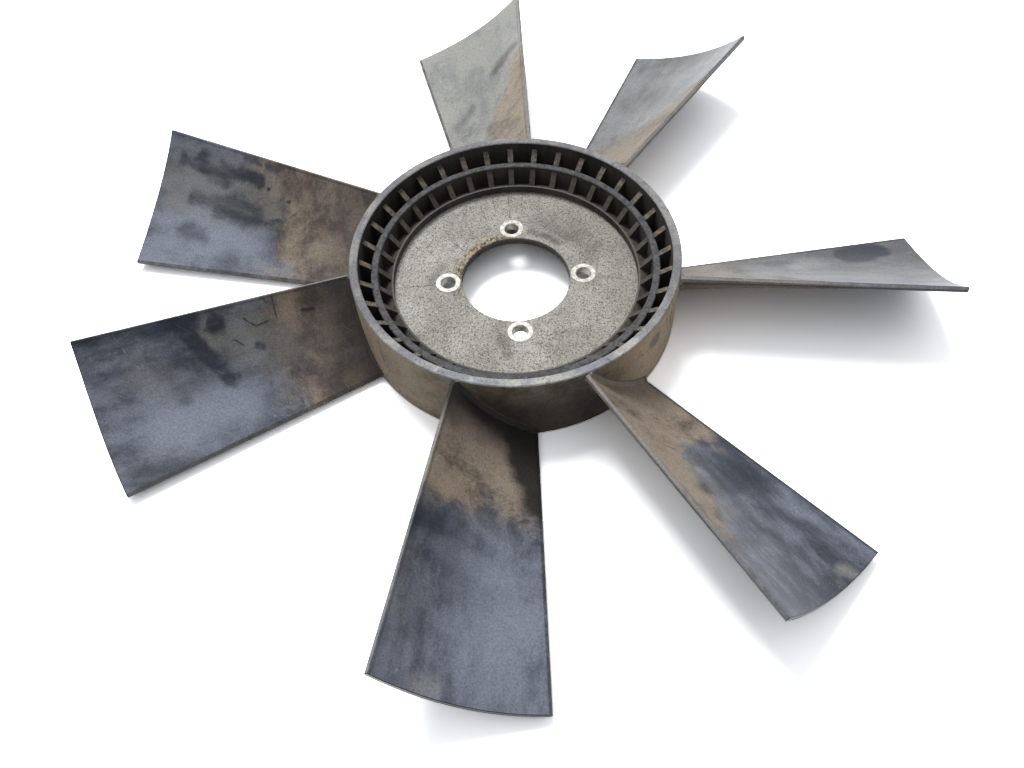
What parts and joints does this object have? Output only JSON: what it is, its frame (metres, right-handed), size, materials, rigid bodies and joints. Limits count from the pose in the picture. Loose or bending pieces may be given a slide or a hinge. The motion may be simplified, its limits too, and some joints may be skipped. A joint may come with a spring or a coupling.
{
  "type": "axial fan impeller",
  "caption": "Axial cooling fan impeller with wide twisted blades on a deep ribbed hub; a pilot bore and bushed bolt holes fix it to a drive flange.",
  "frame": {"origin": "on the axis, in the rear face of the mounting disc, at the centre of the pilot bore", "axes": "+Z along the axis, forwards out of the open ribbed side of the hub; +X through one bolt bush"},
  "size_m": [0.6047, 0.61, 0.0622],
  "materials": {
    "moulding": "satin black glass-filled nylon, aged and dusty",
    "bush_steel": "dull zinc plate"
  },
  "bodies": {
    "root": {"impeller": "moulding", "bush_1": "bush_steel", "bush_2": "bush_steel", "bush_3": "bush_steel", "bush_4": "bush_steel"}
  },
  "joints": []
}
